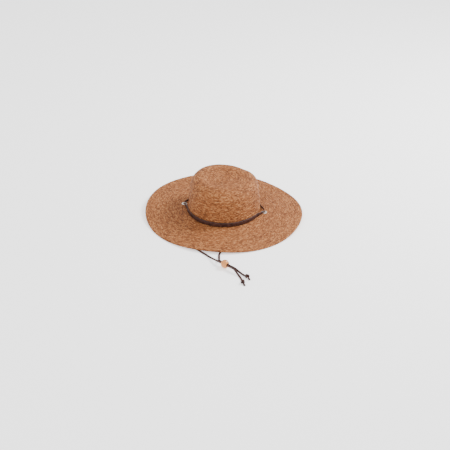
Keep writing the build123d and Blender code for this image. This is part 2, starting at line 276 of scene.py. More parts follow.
# ---- Finishes -------------------------------------------------------------------------
@dataclass(frozen=True)
class StrawFinish:
    """Plaited paper straw: slanted flat strands, each a little lighter or darker, with painted shade in
    the creases between strands.

    Attributes:
        dark: Colour of the darkest strands.
        base: Colour of most strands.
        light: Colour of the lightest strands.
        strands: Strands across one row of braid.
        slant: How far a strand leans along the row, in strand lengths.
        fibre_scale: Fibres for each metre.
        tweed_scale: Flecks of dark and light for each metre.
        broad_scale: Faded patches for each metre.
        wobble_scale: Bends of the strands for each metre.
    """

    dark: Colour = (0.072, 0.020, 0.006)
    base: Colour = (0.262, 0.085, 0.023)
    light: Colour = (0.560, 0.250, 0.095)
    strands: int = 3
    slant: float = 1.6
    fibre_scale: float = 2600.0
    tweed_scale: float = 420.0
    broad_scale: float = 16.0
    wobble_scale: float = 210.0

    def build(self, name: str, aspect: float) -> bpy.types.Material:
        """Make the material.

        Args:
            name: The material's name.
            aspect: Front-to-back size of the rows' ovals over their side-to-side size.

        Returns:
            The material.
        """
        g = Graph(name)
        x, y, _ = g.axes()
        turn = g.math("ARCTAN2", y / aspect, x) / TAU
        row = g.attribute("row")
        stitches = g.attribute("stitches")
        index = g.math("FLOOR", row)
        across = g.math("FRACT", row)
        wobble = (g.noise(self.wobble_scale, 1.0) - 0.5) * 0.5
        lean = g.math("ABSOLUTE", across - 0.5) * (2 * self.slant)
        along = turn * stitches + lean + wobble
        lane = across * float(self.strands)
        strand = g.math("FLOOR", along)
        lane_index = g.math("FLOOR", lane)
        cell = g.node("CombineXYZ", None, 0, X=strand, Y=lane_index, Z=index)
        luck = g.node("TexWhiteNoise", {"noise_dimensions": "3D"}, "Value", Vector=cell)
        hump = g.math("SINE", g.math("FRACT", along) * np.pi)
        lane_hump = g.math("SINE", g.math("FRACT", lane) * np.pi)
        fibre = g.noise(self.fibre_scale, 2.0)
        broad = g.noise(self.broad_scale, 3.0)
        tweed = g.noise(self.tweed_scale, 2.0)
        tone = luck * 0.52 + fibre * 0.20 + broad * 0.22 + tweed * 0.80 - 0.36
        colour = g.ramp(tone, [(0.10, self.dark), (0.50, self.base), (0.98, self.light)])
        # Painted shade: the colour is multiplied darker towards the creases between strands and lanes,
        # to about 0.6 in the creases.
        crease = hump * lane_hump
        shade = g.math("SMOOTH_MIN", crease * 2.2, 1.0, 0.3) * 0.42 + 0.60
        painted_crease_shade = g.node("CombineColor", None, 0, Red=shade, Green=shade, Blue=shade)
        colour = g.mix(1.0, colour, painted_crease_shade, "MULTIPLY")
        g.bump(crease * 0.8 + fibre * 0.2, 0.45 * MM, 0.85)
        return g.surface(colour, 0.62 + 0.2 * fibre, Specular_IOR_Level=0.2)


@dataclass(frozen=True)
class LeatherFinish:
    """Dark vegetable-tanned leather lace with pores and rubbed patches.

    Attributes:
        deep: Colour of the darkest patches.
        base: Main colour.
        worn: Colour of rubbed places.
        roughness: Middle roughness.
        pore_scale: Pores for each metre.
        patch_scale: Rubbed patches for each metre.
        fine_scale: Fine creases for each metre.
    """

    deep: Colour = (0.010, 0.004, 0.003)
    base: Colour = (0.042, 0.012, 0.008)
    worn: Colour = (0.090, 0.032, 0.022)
    roughness: float = 0.5
    pore_scale: float = 1700.0
    patch_scale: float = 130.0
    fine_scale: float = 1500.0

    def build(self, name: str) -> bpy.types.Material:
        """Make the material.

        Args:
            name: The material's name.

        Returns:
            The material.
        """
        g = Graph(name)
        pores = g.node(
            "TexVoronoi", {"feature": "F1"}, "Distance", Vector=g.place(), Scale=self.pore_scale
        )
        patch = g.noise(self.patch_scale, 4.0)
        fine = g.noise(self.fine_scale, 3.0)
        tone = patch * 0.9 + fine * 0.3 - 0.1
        colour = g.ramp(tone, [(0.25, self.deep), (0.5, self.base), (0.82, self.worn)])
        g.bump(pores * 0.6 + fine * 0.4, 0.12 * MM, 0.6)
        roughness = self.roughness - 0.08 + 0.22 * patch
        return g.surface(colour, roughness, Specular_IOR_Level=0.3)


@dataclass(frozen=True)
class WoodFinish:
    """Pale turned wood under a thin satin varnish.

    Attributes:
        early: Colour between the rings.
        late: Colour of the rings.
        tilt: Turn of the grain from the bead's axes, in radians.
        stretch: Shrinking of the coordinates, smallest along the grain.
        ring_scale: Rings for each metre.
        fleck_scale: Flecks for each metre.
    """

    early: Colour = (0.700, 0.265, 0.052)
    late: Colour = (0.340, 0.100, 0.018)
    tilt: Point = (0.3, 0.9, 0.2)
    stretch: Point = (1.0, 0.16, 1.0)
    ring_scale: float = 190.0
    fleck_scale: float = 1900.0

    def build(self, name: str, centre: Vector) -> bpy.types.Material:
        """Make the material.

        Args:
            name: The material's name.
            centre: Middle of the bead.

        Returns:
            The material.
        """
        g = Graph(name)
        offset = tuple(-c for c in centre)
        local = g.node("VectorMath", {"operation": "ADD"}, 0, i0=g.place(), i1=offset)
        grain = g.node("Mapping", None, 0, Vector=local, Rotation=self.tilt, Scale=self.stretch)
        rings = g.node(
            "TexWave", {"wave_type": "RINGS", "rings_direction": "Y"}, "Fac",
            Vector=grain, Scale=self.ring_scale, Distortion=3.2, Detail=2.0, Detail_Scale=1.4,
        )
        fleck = g.noise(self.fleck_scale, 3.0, grain)
        tone = rings * 0.75 + fleck * 0.35 - 0.05
        colour = g.ramp(tone, [(0.30, self.early), (1.0, self.late)])
        g.bump(fleck, 0.06 * MM, 0.5)
        return g.surface(colour, 0.36 + 0.15 * fleck, Coat_Weight=0.35, Coat_Roughness=0.22)


@dataclass(frozen=True)
class MetalFinish:
    """Plated or drawn metal with faint handling marks.

    Attributes:
        bright: Colour of clean metal.
        dull: Colour of handled metal.
        roughness: Middle roughness.
        smear_scale: Handling marks for each metre.
        grain_scale: Scratches for each metre.
    """

    bright: Colour = (0.78, 0.74, 0.69)
    dull: Colour = (0.52, 0.47, 0.42)
    roughness: float = 0.28
    smear_scale: float = 420.0
    grain_scale: float = 2400.0

    def build(self, name: str) -> bpy.types.Material:
        """Make the material.

        Args:
            name: The material's name.

        Returns:
            The material.
        """
        g = Graph(name)
        smear = g.noise(self.smear_scale, 4.0)
        colour = g.ramp(smear, [(0.35, self.bright), (0.72, self.dull)])
        g.bump(g.noise(self.grain_scale, 2.0), 0.03 * MM, 0.4)
        return g.surface(colour, self.roughness - 0.08 + 0.2 * smear, Metallic=1.0)


class Weave(Enum):
    """How a cloth's threads run."""

    GROSGRAIN = "upright ribs"
    PLAIN = "fine square weave"
    TWIST = "twisted thread"


@dataclass(frozen=True)
class ClothFinish:
    """Woven cloth or thread, with painted shade between the threads.

    Attributes:
        low: Colour between the threads, painted shade in the hollows of the weave, and of dark fuzz.
        high: Colour on the tops of the threads, and of light fuzz.
        weave: How the threads run.
        pitch: Distance from rib to rib, in metres.
        aspect: Front-to-back size over side-to-side size of the oval that the cloth follows.
        reach: Distance of the cloth from the hat's middle.
        fuzz_scale: Loose fibres for each metre.
    """

    low: Colour
    high: Colour
    weave: Weave
    pitch: float
    aspect: float = 1.135
    reach: float = 0.09
    fuzz_scale: float = 900.0

    def build(self, name: str) -> bpy.types.Material:
        """Make the material.

        Args:
            name: The material's name.

        Returns:
            The material.
        """
        g = Graph(name)
        x, y, z = g.axes()
        cycles = TAU / self.pitch
        turn = g.math("ARCTAN2", y / self.aspect, x)
        ribs = g.math("SINE", turn * (self.reach * cycles)) * 0.5 + 0.5
        picks = g.math("SINE", z * cycles) * 0.5 + 0.5
        slanted = g.math("SINE", (turn * self.reach + z) * cycles) * 0.5 + 0.5
        pattern = {
            Weave.GROSGRAIN: ribs * 0.85 + picks * 0.15,
            Weave.PLAIN: ribs * picks,
            Weave.TWIST: slanted,
        }[self.weave]
        fuzz = g.noise(self.fuzz_scale, 3.0)
        # Painted shade: where the weave pattern dips between threads the colour goes towards low; the
        # fuzz noise adds real random tone.
        tone = pattern * 0.7 + fuzz * 0.4 - 0.05
        colour = g.ramp(tone, [(0.15, self.low), (0.85, self.high)])
        g.bump(pattern * 0.8 + fuzz * 0.2, 0.3 * self.pitch, 0.7)
        return g.surface(colour, 0.8, Sheen_Weight=0.2)


# ---- Meshes ---------------------------------------------------------------------------
def add_object(name: str, data: bpy.types.ID) -> bpy.types.Object:
    """Put an object into the scene.

    Args:
        name: The object's name.
        data: Its mesh, camera or light.

    Returns:
        The object.
    """
    made = bpy.data.objects.new(name, data)
    bpy.context.scene.collection.objects.link(made)
    return made


def round_angles(count: int) -> np.ndarray:
    """Angles of evenly spaced points round a full turn.

    Args:
        count: Number of points.

    Returns:
        The angles, in radians from 0.
    """
    return np.arange(count) * TAU / count


def ease(share: np.ndarray) -> np.ndarray:
    """Smooth a ramp from 0 to 1 at both of its ends.

    Args:
        share: Numbers from 0 to 1.

    Returns:
        The smoothed numbers.
    """
    return share * share * (3 - 2 * share)


def resample(places: np.ndarray, along: np.ndarray, points: np.ndarray) -> np.ndarray:
    """Read a line at other distances from its start.

    Args:
        places: The distances to read it at.
        along: Distance of each point of the line.
        points: The line's points, flat.

    Returns:
        One flat point for each place.
    """
    return np.stack([np.interp(places, along, points[:, k]) for k in range(2)], -1)


def grid_object(name: str, points: np.ndarray, closed_rows: bool, caps: bool) -> bpy.types.Object:
    """Make an object from a grid of points that is closed along its second axis.

    Args:
        name: The object's name.
        points: Array of shape (rows, columns, 3).
        closed_rows: Whether the last row also joins the first.
        caps: Whether one face closes each end.

    Returns:
        The object, smooth shaded.
    """
    rows, columns = points.shape[:2]
    last = rows if closed_rows else rows - 1
    i, j = np.meshgrid(np.arange(last), np.arange(columns), indexing="ij")
    below = (i + 1) % rows
    right = (j + 1) % columns
    corners = [i * columns + j, below * columns + j, below * columns + right, i * columns + right]
    quads = np.stack(corners, -1).reshape(-1, 4)
    faces = quads.tolist()
    if caps:
        faces.append(list(range(columns)))
        faces.append(list(range((rows - 1) * columns, rows * columns))[::-1])
    mesh = bpy.data.meshes.new(name)
    mesh.from_pydata(points.reshape(-1, 3).tolist(), [], faces)
    mesh.polygons.foreach_set("use_smooth", [True] * len(faces))
    mesh.update()
    return add_object(name, mesh)


def set_numbers(piece: bpy.types.Object, name: str, domain: str, values: Iterable[float]) -> None:
    """Store one number for each point or face of a piece.

    Args:
        piece: The mesh object.
        name: The attribute's name.
        domain: "POINT" or "FACE".
        values: The numbers, in order.
    """
    layer = piece.data.attributes.new(name, "FLOAT", domain)
    layer.data.foreach_set("value", np.asarray(values, dtype=np.float32))


def smooth_line(name: str, route: Route, resolution: int) -> np.ndarray:
    """Read the points of a smooth line that follows a route.

    Args:
        name: Name for the curve.
        route: Control points, in metres.
        resolution: Points for each control point.

    Returns:
        Array of points along the line.
    """
    curve = bpy.data.curves.new(name, "CURVE")
    curve.dimensions = "3D"
    curve.resolution_u = resolution
    spline = curve.splines.new("NURBS")
    spline.points.add(len(route) - 1)
    for point, place in zip(spline.points, route):
        point.co = (*place, 1)
    spline.order_u = 3
    spline.use_endpoint_u = True
    holder = bpy.data.objects.new(name, curve)
    mesh = bpy.data.meshes.new_from_object(holder)
    points = np.array([vertex.co[:] for vertex in mesh.vertices])
    bpy.data.meshes.remove(mesh)
    bpy.data.objects.remove(holder)
    bpy.data.curves.remove(curve)
    return points


def unit(vectors: np.ndarray) -> np.ndarray:
    """Scale vectors to length one.

    Args:
        vectors: Array whose last axis is the vector.

    Returns:
        The unit vectors.
    """
    return vectors / np.maximum(np.linalg.norm(vectors, axis=-1, keepdims=True), 1e-12)


def headings(line: np.ndarray) -> np.ndarray:
    """Directions along a line of points.

    Args:
        line: The points.

    Returns:
        One unit vector for each point.
    """
    return unit(np.gradient(line, axis=0))


def distances(line: np.ndarray) -> np.ndarray:
    """Distance of each point from the line's start.

    Args:
        line: The points.

    Returns:
        The distances.
    """
    steps = np.linalg.norm(np.diff(line, axis=0), axis=1)
    return np.concatenate([[0.0], np.cumsum(steps)])


def strap_section(corner_steps: int = 3, squareness: float = 0.55) -> np.ndarray:
    """Outline of a strap with rounded edges, one unit from the middle to each side.

    Args:
        corner_steps: Points in each quarter, more than one.
        squareness: Power below 1 that flattens the sides.

    Returns:
        Array of points (across, through).
    """
    angle = round_angles(4 * corner_steps)
    cosine, sine = np.cos(angle), np.sin(angle)
    return np.stack(
        [np.sign(cosine) * np.abs(cosine) ** squareness, np.sign(sine) * np.abs(sine) ** squareness],
        -1,
    )


def strap(
    name: str, line: np.ndarray, across: np.ndarray, width: np.ndarray, thickness: np.ndarray
) -> bpy.types.Object:
    """Sweep a strap's section along a line.

    Args:
        name: The object's name.
        line: Points of the middle line.
        across: Direction of the width at each point.
        width: Width at each point.
        thickness: Thickness at each point.

    Returns:
        The strap.
    """
    through = unit(np.cross(headings(line), across))
    side = unit(np.cross(through, headings(line)))
    outline = strap_section()
    flat = side[:, None, :] * (outline[None, :, 0, None] * width[:, None, None] / 2)
    deep = through[:, None, :] * (outline[None, :, 1, None] * thickness[:, None, None] / 2)
    return grid_object(name, line[:, None, :] + flat + deep, closed_rows=False, caps=True)


def join(first: bpy.types.Object, *others: bpy.types.Object) -> bpy.types.Object:
    """Join pieces into the first one.

    Args:
        first: The piece that stays.
        *others: The pieces that go into it.

    Returns:
        The first piece.
    """
    with bpy.context.temp_override(active_object=first, selected_editable_objects=[first, *others]):
        bpy.ops.object.join()
    return first


def finish_piece(
    piece: bpy.types.Object, material: bpy.types.Material, body: str, slot: str, *nodes: str
) -> bpy.types.Object:
    """Give a piece its material and its body, and hide the CAD nodes it stands for.

    Args:
        piece: The object.
        material: Its material.
        body: The body that carries it.
        slot: The record's material slot; not used.
        *nodes: The CAD nodes that it replaces.

    Returns:
        The piece.
    """
    piece.data.materials.clear()
    piece.data.materials.append(material)
    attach(piece, body)
    if nodes:
        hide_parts(*nodes)
    return piece


# ---- The hat's shape ------------------------------------------------------------------
@dataclass
class HatShape:
    """Driving sizes of the hat, and the surfaces that follow from them.

    Attributes:
        half_width: Crown's outside at its foot, side to side.
        aspect: Front-to-back size over side-to-side size of the crown.
        straw: Thickness of the braid.
        lean: Angle of the crown's wall.
        wall_run: Slant length of the wall above the brim.
        shoulder: Radius of the crown's shoulder.
        dish: Slope of the sunk top at its rim.
        rise: Height of the brim's upper face at the crown.
        brim_half_width: Brim's edge, side to side.
        brim_half_length: Brim's edge, front to back.
        droop: Power of the brim's radial curve.
        edge_height: Height of the edge row's section.
        edge_width: Width of the edge row.
        flattening: How far the hat's weight flattens the edge's troughs.
        waves: (waves round the brim, height in millimetres, azimuth of a crest in degrees).
        dents: Worn places of the crown, as (azimuth and spread in degrees, middle and reach
            as shares of the way to the foot, size in millimetres, less than 0 inward).
    """

    half_width: float = 89.0 * MM
    aspect: float = 1.135
    straw: float = 2.6 * MM
    lean: float = float(np.radians(6.3))
    wall_run: float = 60.0 * MM
    shoulder: float = 27.0 * MM
    dish: float = float(np.radians(11.0))
    rise: float = 14.0 * MM
    brim_half_width: float = 193.0 * MM
    brim_half_length: float = 206.0 * MM
    droop: float = 1.4
    edge_height: float = 4.4 * MM
    edge_width: float = 7.0 * MM
    flattening: float = 0.8 * MM
    waves: Sequence[tuple[int, float, float]] = (
        (1, 4.22, 140.3), (2, 3.15, -31.4), (3, 1.53, 20.2), (4, 2.47, 0.4),
    )
    dents: Sequence[tuple[float, float, float, float, float]] = (
        (150, 48, 0.50, 0.17, 5.0), (62, 13, 0.42, 0.07, -2.6), (228, 30, 0.20, 0.10, -2.2),
    )

    def __post_init__(self) -> None:
        """Work out the edge's mean height and the crown's half length."""
        every = np.radians(np.arange(1440) / 4)
        self.edge_mean = -float(self.edge_wave(every).min()) - self.flattening
        self.half_length = self.half_width * self.aspect

    def edge_wave(self, angle: np.ndarray) -> np.ndarray:
        """The edge's rise above its mean height.

        Args:
            angle: Angles round the brim, in radians.

        Returns:
            Heights in metres.
        """
        height = np.zeros_like(angle)
        for order, size, crest in self.waves:
            height = height + size * MM * np.cos(order * (angle - np.radians(crest)))
        return height

    def brim_top(self, x: np.ndarray, y: np.ndarray) -> np.ndarray:
        """Height of the brim's upper face.

        Args:
            x: Places side to side.
            y: Places front to back.

        Returns:
            Heights above the resting surface.
        """
        angle = np.arctan2(y / self.brim_half_length, x / self.brim_half_width)
        outer = np.hypot(x / self.brim_half_width, y / self.brim_half_length)
        inner = np.maximum(np.hypot(x / self.half_width, y / self.half_length), 1.0)
        reach = (1 - 1 / inner) / (1 / outer - 1 / inner)
        edge = self.edge_mean + self.edge_wave(angle) + (self.edge_height + self.straw) / 2
        return self.rise + (edge - self.rise) * np.maximum(reach, 0) ** self.droop

    def slump(self, angle: np.ndarray, share: np.ndarray) -> np.ndarray:
        """How far the worn crown stands out from its plain shape.

        Args:
            angle: Angles round the crown, as a row.
            share: Share of the way from the middle of the top to the foot, as a column.

        Returns:
            Distances outward, in metres.
        """
        out = 0.6 * MM * np.sin(3 * angle + 0.7) * np.sin(np.pi * share) ** 2
        for azimuth, spread, middle, reach, size in self.dents:
            turn = np.degrees(np.angle(np.exp(1j * (angle - np.radians(azimuth)))))
            out = out + size * MM * np.exp(-((turn / spread) ** 2) - ((share - middle) / reach) ** 2)
        return out

    def crown_profile(self, offset: float, count: int) -> tuple[np.ndarray, np.ndarray]:
        """Half profile of the crown from the middle of its top to its foot.

        Args:
            offset: Distance inward from the outside.
            count: Number of points, evenly spaced.

        Returns:
            Points (x, z), and the distance of each from the middle of the top.
        """
        wall_height = self.wall_run * np.cos(self.lean)
        wall_top_z = self.rise + wall_height
        wall_top_x = self.half_width - (wall_height + self.straw) * np.tan(self.lean)
        centre_x = wall_top_x - self.shoulder * np.cos(self.lean)
        centre_z = wall_top_z - self.shoulder * np.sin(self.lean)
        radius = self.shoulder - offset
        bowl = (centre_x - self.shoulder * np.sin(self.dish)) / np.sin(self.dish) + offset
        bowl_z = centre_z + (radius + bowl) * np.cos(self.dish)
        slope = np.linspace(0, self.dish, 60)
        top = np.stack([bowl * np.sin(slope), bowl_z - bowl * np.cos(slope)], -1)
        turn = np.linspace(np.pi / 2 + self.dish, self.lean, 80)[1:]
        round_part = np.stack([centre_x + radius * np.cos(turn), centre_z + radius * np.sin(turn)], -1)
        foot_z = self.rise - self.straw
        start = round_part[-1]
        foot = np.array([start[0] + (start[1] - foot_z) * np.tan(self.lean), foot_z])
        fine = np.concatenate([top, round_part, np.linspace(start, foot, 60)[1:]])
        along = distances(fine)
        even = np.linspace(0, along[-1], count)
        return resample(even, along, fine), even


# ---- Straw pieces ---------------------------------------------------------------------
@dataclass
class BraidRows:
    """Rows of sewn braid and the relief that they give a surface.

    Attributes:
        pitch: Distance from row to row.
        step: Height of the ridge where one row lies on the next.
        stitch: Length of one plait along a row.
        fewest: Fewest plaits in a row.
        edge_share: Share of a row over which its overlapping edge rises.
        fall: Share of the step that a row loses towards its hidden edge.
        groove_depth: Depth of a row's groove, as a share of the step.
        groove_place: Place of the groove across the row, as a share of it.
        groove_reach: Half width of the groove, as a share of the row.
        samples: Share of a row at which its surface is sampled.
    """

    pitch: float = 6.7 * MM
    step: float = 0.75 * MM
    stitch: float = 4.2 * MM
    fewest: float = 6.0
    edge_share: float = 0.16
    fall: float = 0.75
    groove_depth: float = 0.12
    groove_place: float = 0.52
    groove_reach: float = 0.09
    samples: tuple[float, ...] = (0.0, 0.07, 0.2, 0.45, 0.7, 0.9)

    def stops(self, rows: int) -> np.ndarray:
        """Row coordinates of the surface's samples.

        Args:
            rows: Number of rows.

        Returns:
            Increasing numbers from 0 to `rows`.
        """
        numbers = [row + share for row in range(rows) for share in self.samples]
        return np.array([*numbers, rows - 1e-4])

    def relief(self, row: np.ndarray, angle: np.ndarray) -> np.ndarray:
        """Height of the braid over the bare surface.

        Args:
            row: Row coordinates, as a column.
            angle: Angles round the hat, as a row.

        Returns:
            Heights in metres.
        """
        share = row - np.floor(row)
        rise = ease(np.clip(share / self.edge_share, 0, 1))
        ridge = rise * (1 - self.fall * share ** 1.5)
        aside = (share - self.groove_place) / self.groove_reach
        groove = self.groove_depth * np.exp(-(aside ** 2))
        seed = np.floor(row) * GOLDEN_ANGLE
        uneven = 1 + 0.16 * np.sin(7 * angle + seed) + 0.12 * np.sin(17 * angle + 3.1 * seed)
        return self.step * (ridge - groove) * uneven

    def mark(self, piece: bpy.types.Object, row: np.ndarray, girth: np.ndarray, columns: int) -> None:
        """Store the row coordinate and each row's number of plaits on a piece.

        Args:
            piece: The mesh object, a grid of len(row) by `columns`.
            row: Row coordinate of each grid row.
            girth: Length round the hat at each grid row.
            columns: Points round the hat.
        """
        set_numbers(piece, "row", "POINT", np.repeat(row, columns))
        first = np.floor(row + 1e-6)
        mean = {value: girth[first == value].mean() for value in np.unique(first)}
        faces = len(piece.data.polygons)
        pairs = np.minimum(np.floor(row), np.floor(np.roll(row, -1)))
        plaits = [round(mean.get(value, girth.mean()) / self.stitch) for value in pairs]
        spread = np.repeat([max(self.fewest, count) for count in plaits], columns)
        padded = np.concatenate([spread, np.full(max(0, faces - len(spread)), self.fewest)])
        set_numbers(piece, "stitches", "FACE", padded[:faces])


@dataclass
class StrawWork:
    """Crown, brim and edge row.

    Attributes:
        shape: The hat's sizes.
        rows: How the braid is sewn.
        finish: The straw's finish.
        columns: Points round the hat.
        profile_points: Points on which the crown's profile is worked out.
        bare_middle: Distance from the middle of the top over which the braid's relief grows.
        tuck: How far the brim's first row reaches under the crown's wall.
        overlap: How far the brim's last row reaches under the edge row.
        edge_steps: Points round the edge row's section.
        edge_mark: Row coordinate of the edge row, past every other row.
    """

    shape: HatShape
    rows: BraidRows = field(default_factory=BraidRows)
    finish: StrawFinish = field(default_factory=StrawFinish)
    columns: int = 440
    profile_points: int = 2000
    bare_middle: float = 6.0 * MM
    tuck: float = 0.4 * MM
    overlap: float = 1.5 * MM
    edge_steps: int = 20
    edge_mark: int = 40

    def oval(self, half_width: np.ndarray, half_length: np.ndarray) -> np.ndarray:
        """Points of concentric ovals.

        Args:
            half_width: Half sizes side to side.
            half_length: Half sizes front to back.

        Returns:
            Array of shape (ovals, columns, 2).
        """
        angle = round_angles(self.columns)
        x = half_width[:, None] * np.cos(angle)
        y = half_length[:, None] * np.sin(angle)
        return np.stack([x, y], -1)

    def girth(self, half_width: np.ndarray, half_length: np.ndarray) -> np.ndarray:
        """Length round each oval, near enough for counting plaits.

        Args:
            half_width: Half sizes side to side.
            half_length: Half sizes front to back.

        Returns:
            Lengths in metres.
        """
        return np.pi * (half_width + half_length)

    def crown_face(self, row: np.ndarray, count: int, outside: bool) -> tuple[np.ndarray, np.ndarray]:
        """Points of the crown's outside or inside.

        Args:
            row: Row coordinates from the middle of the top, in the order of the points.
            count: Number of rows of braid.
            outside: Whether the face is the outside, which shows the braid's relief.

        Returns:
            Array of shape (rows, columns, 3), and the half width at each row.
        """
        s = self.shape
        angle = round_angles(self.columns)
        profile, even = s.crown_profile(0 if outside else s.straw, self.profile_points)
        along = row / count * even[-1]
        line = resample(along, even, profile)
        tangent = unit(np.gradient(line, axis=0))
        normal = np.stack([-tangent[:, 1], tangent[:, 0]], -1) * (1 if outside else -1)
        relief = s.slump(angle[None, :], row[:, None] / count)
        if outside:
            grown = np.clip(along / self.bare_middle, 0, 1)[:, None]
            relief = self.rows.relief(row[:, None], angle[None, :]) * grown + relief
        radial = unit(np.stack([np.cos(angle), np.sin(angle) / s.aspect], -1))
        flat = self.oval(line[:, 0], line[:, 0] * s.aspect)
        flat = flat + radial[None] * (normal[:, 0, None] * relief)[..., None]
        height = line[:, 1, None] + normal[:, 1, None] * relief
        return np.concatenate([flat, height[..., None]], -1), line[:, 0]

    def crown(self) -> bpy.types.Object:
        """Make the crown, outside and inside.

        Returns:
            The piece.
        """
        s = self.shape
        _, even = s.crown_profile(0, self.profile_points)
        count = int(round(even[-1] / self.rows.pitch))
        outer_row = self.rows.stops(count)[1:]
        inner_row = np.linspace(count - 1e-3, 0.02, 2 * count)
        outside, outer_width = self.crown_face(outer_row, count, True)
        inside, inner_width = self.crown_face(inner_row, count, False)
        piece = grid_object("crown_braid", np.concatenate([outside, inside]), False, True)
        widths = np.concatenate([outer_width, inner_width])
        rows = np.concatenate([outer_row, inner_row])
        self.rows.mark(piece, rows, self.girth(widths, widths * s.aspect), self.columns)
        return piece

    def brim(self) -> bpy.types.Object:
        """Make the brim, top and underside.

        Returns:
            The piece.
        """
        s = self.shape
        angle = round_angles(self.columns)[None, :]
        inner_x = s.half_width - self.tuck
        width = s.brim_half_width - s.edge_width + self.overlap - inner_x
        count = int(round(width / self.rows.pitch))
        top_row = self.rows.stops(count)
        under_row = self.rows.stops(count)[::-2]
        row = np.concatenate([top_row, under_row])
        share = row / count
        outer_y = s.brim_half_length - s.edge_width + self.overlap
        half_x = inner_x + share * width
        half_y = (s.half_length - self.tuck) + share * (outer_y - s.half_length + self.tuck)
        oval = self.oval(half_x, half_y)
        top = s.brim_top(oval[..., 0], oval[..., 1])
        relief = self.rows.relief(row[:, None], angle)
        under = np.arange(len(row))[:, None] >= len(top_row)
        height = np.where(under, top - s.straw - 0.4 * relief, top + relief - 0.2 * MM)
        points = np.concatenate([oval, height[..., None]], -1)
        piece = grid_object("brim_braid", points, True, False)
        self.rows.mark(piece, row, self.girth(half_x, half_y), self.columns)
        return piece

    def edge_row(self) -> bpy.types.Object:
        """Make the folded row at the brim's edge.

        Returns:
            The piece.
        """
        s = self.shape
        turn = round_angles(self.edge_steps)
        angle = round_angles(self.columns)
        across = np.sign(np.cos(turn)) * np.abs(np.cos(turn)) ** 0.7 * s.edge_width / 2
        lift = np.sign(np.sin(turn)) * np.abs(np.sin(turn)) ** 0.8 * s.edge_height / 2
        half_x = s.brim_half_width - s.edge_width / 2 + across
        half_y = s.brim_half_length - s.edge_width / 2 + across
        oval = self.oval(half_x, half_y)
        middle = s.brim_top(oval[..., 0], oval[..., 1]) - s.straw / 2
        uneven = 1 + 0.035 * np.sin(23 * angle) + 0.03 * np.sin(61 * angle + 1.3)
        low = np.where(lift[:, None] > 0, uneven[None, :], 1.0)
        height = np.maximum(middle + lift[:, None] * low, 0.05 * MM)
        points = np.concatenate([oval, height[..., None]], -1)
        piece = grid_object("edge_row_braid", points, True, False)
        row = self.edge_mark + 0.98 * (0.5 + across / s.edge_width)
        self.rows.mark(piece, row, self.girth(half_x, half_y), self.columns)
        return piece

    def build(self) -> list[bpy.types.Object]:
        """Make every straw piece.

        Returns:
            The pieces.
        """
        s = self.shape
        crown_straw = self.finish.build("straw_crown", s.aspect)
        brim_straw = self.finish.build("straw_brim", s.brim_half_length / s.brim_half_width)
        return [
            finish_piece(self.crown(), crown_straw, "hat", "straw", "crown_side", "crown_tip"),
            finish_piece(self.brim(), brim_straw, "hat", "straw", "brim"),
            finish_piece(self.edge_row(), brim_straw, "hat", "straw", "brim_edge_row"),
        ]


# ---- Leather --------------------------------------------------------------------------
# Routes of the chin laces, in millimetres: from the eyelets forward under the brim, and from the
# bead to the knots. Twists are (share of the length, degrees from lying flat).
FLOOR_MM = 1.75
LEFT_UNDER_BRIM = (
    (-98.5, -14.0, FLOOR_MM),
    (-97.0, -44.0, FLOOR_MM),
    (-90.0, -93.0, FLOOR_MM),
    (-75.0, -142.0, FLOOR_MM),
    (-52.0, -180.0, FLOOR_MM),
    (-17.0, -204.0, FLOOR_MM),
    (9.0, -227.0, 2.4),
)
LEFT_AFTER_BEAD = (
    (88.0, -292.5, FLOOR_MM),
    (95.5, -305.5, FLOOR_MM),
    (99.5, -316.0, 3.0),
)
RIGHT_UNDER_BRIM = (
    (98.5, -14.0, FLOOR_MM),
    (96.5, -44.0, FLOOR_MM),
    (88.0, -92.0, FLOOR_MM),
    (64.0, -138.0, FLOOR_MM),
    (36.0, -177.0, FLOOR_MM),
    (26.0, -203.0, FLOOR_MM),
    (29.5, -222.0, 2.3),
)
RIGHT_AFTER_BEAD = (
    (94.0, -285.5, FLOOR_MM),
    (103.0, -292.0, 3.0),
)
LEFT_TWIST = ((0, 0), (0.55, 0), (0.66, 50), (0.72, 90), (0.88, 90), (0.95, 30), (1, 20))
RIGHT_TWIST = ((0, 0), (0.70, 0), (0.74, 10), (0.79, 90), (0.90, 90), (0.97, 30), (1, 20))


